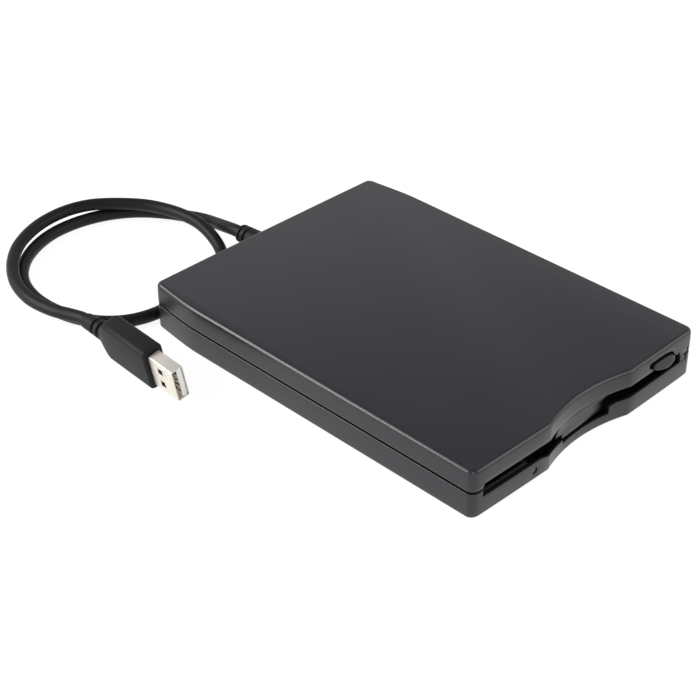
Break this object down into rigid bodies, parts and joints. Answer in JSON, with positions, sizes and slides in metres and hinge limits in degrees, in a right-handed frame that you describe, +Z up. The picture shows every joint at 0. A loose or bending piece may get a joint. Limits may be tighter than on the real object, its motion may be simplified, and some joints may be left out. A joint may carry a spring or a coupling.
{
  "type": "external floppy disk drive",
  "caption": "Slim external drive for 3.5 inch floppy disks, with a finger notch in its slot, an eject button and a captive lead ending in a rectangular plug.",
  "frame": {"origin": "on the ground under the middle of the case", "axes": "+Y from the slot towards the lead, +Z up, +X to the right seen from the slot"},
  "size_m": [0.13, 0.2204, 0.0173],
  "materials": {
    "shell_black": "fine matte moulded",
    "door_black": "satin moulded",
    "button_black": "satin",
    "rubber": "soft vinyl, satin",
    "foot_rubber": "matte",
    "sheet_steel": "zinc plated sheet",
    "steel": "turned",
    "plated_shell": "nickel plated, warm",
    "brass": "turned",
    "gold": "gold flashed contact",
    "white_plastic": "matte",
    "inner_plastic": "matte",
    "chip_black": "moulded epoxy",
    "board_green": "solder mask",
    "ceramic": "ground ceramic",
    "flex_film": "polyimide film",
    "light_pipe": "clear moulded"
  },
  "bodies": {
    "case": {"top_cover": "shell_black", "bottom_cover": "shell_black", "foot_front_left": "foot_rubber", "foot_front_right": "foot_rubber", "foot_rear_left": "foot_rubber", "foot_rear_right": "foot_rubber", "case_screw_left": "steel", "case_screw_right": "steel", "chassis_screw_front_left": "steel", "chassis_screw_front_right": "steel", "chassis_screw_rear_left": "steel", "chassis_screw_rear_right": "steel", "door_pivot_left": "inner_plastic", "door_pivot_right": "inner_plastic", "eject_spring": "steel", "chassis": "sheet_steel", "top_shield": "sheet_steel", "spindle_board": "board_green", "guide_rod": "steel", "rod_clip_front": "inner_plastic", "rod_clip_rear": "inner_plastic", "stepper_motor": "steel", "stepper_bracket": "sheet_steel", "lever_post": "steel", "main_board": "board_green", "controller_chip": "chip_black", "driver_chip": "chip_black", "usb_board": "board_green", "bridge_chip": "chip_black", "crystal": "steel", "cable_connector": "white_plastic", "flat_flex": "flex_film", "write_protect_switch": "chip_black", "disk_in_switch": "chip_black", "light_pipe": "light_pipe", "strain_relief": "rubber", "lead_bundle": "white_plastic", "cord": "rubber", "plug_overmould": "rubber", "plug_relief": "rubber", "plug_shell": "plated_shell", "plug_tongue": "white_plastic", "plug_contact_1": "gold", "plug_contact_2": "gold", "plug_contact_3": "gold", "plug_contact_4": "gold"},
    "door": {"dust_door": "door_black"},
    "slider": {"eject_slider": "sheet_steel", "eject_button": "button_black"},
    "holder": {"disk_holder": "sheet_steel"},
    "rotor": {"spindle_rotor": "steel", "drive_pin": "brass"},
    "carriage": {"head_carriage": "inner_plastic", "lower_head": "ceramic"},
    "arm": {"upper_arm": "inner_plastic", "upper_head": "ceramic"},
    "screw": {"lead_screw": "brass"},
    "lever": {"shutter_lever": "sheet_steel"}
  },
  "joints": [
    {"name": "door_swing", "type": "hinge", "parent": "case", "child": "door", "pos_m": [-0.0015, -0.0642, 0.0137], "axis": [1, 0, 0], "range_deg": [0, 82], "stiffness_Nm_per_rad": 0.0003, "springref_deg": -17.19},
    {"name": "eject_slide", "type": "slide", "parent": "case", "child": "slider", "axis": [0, -1, 0], "range_m": [0, 0.0045], "deforming": ["eject_spring"]},
    {"name": "holder_lift", "type": "slide", "parent": "case", "child": "holder", "axis": [0, 0, -1], "range_m": [0, 0.0015]},
    {"name": "arm_drop", "type": "hinge", "parent": "carriage", "child": "arm", "pos_m": [-0.0015, 0.0555, 0.0126], "axis": [1, 0, 0], "range_deg": [0, 8]},
    {"name": "carriage_slide", "type": "slide", "parent": "case", "child": "carriage", "axis": [0, -1, 0], "range_m": [0, 0.015]},
    {"name": "screw_turn", "type": "hinge", "parent": "case", "child": "screw", "pos_m": [0.014, 0.0381, 0.0086], "axis": [0, 1, 0], "range_deg": [0, 1801]},
    {"name": "spindle_spin", "type": "hinge", "parent": "case", "child": "rotor", "pos_m": [-0.0015, -0.009, 0.0043], "axis": [0, 0, 1], "continuous": true},
    {"name": "lever_swing", "type": "hinge", "parent": "case", "child": "lever", "pos_m": [-0.042, 0.0405, 0.012], "axis": [0, 0, 1], "range_deg": [0, 30], "stiffness_Nm_per_rad": 0.002, "springref_deg": -11.46}
  ],
  "couplings": [
    {"joint": "holder_lift", "follows": "eject_slide", "ratio": 0.33333},
    {"joint": "arm_drop", "follows": "eject_slide", "rad_per_m": 31},
    {"joint": "screw_turn", "follows": "carriage_slide", "rad_per_m": 2094.4}
  ]
}
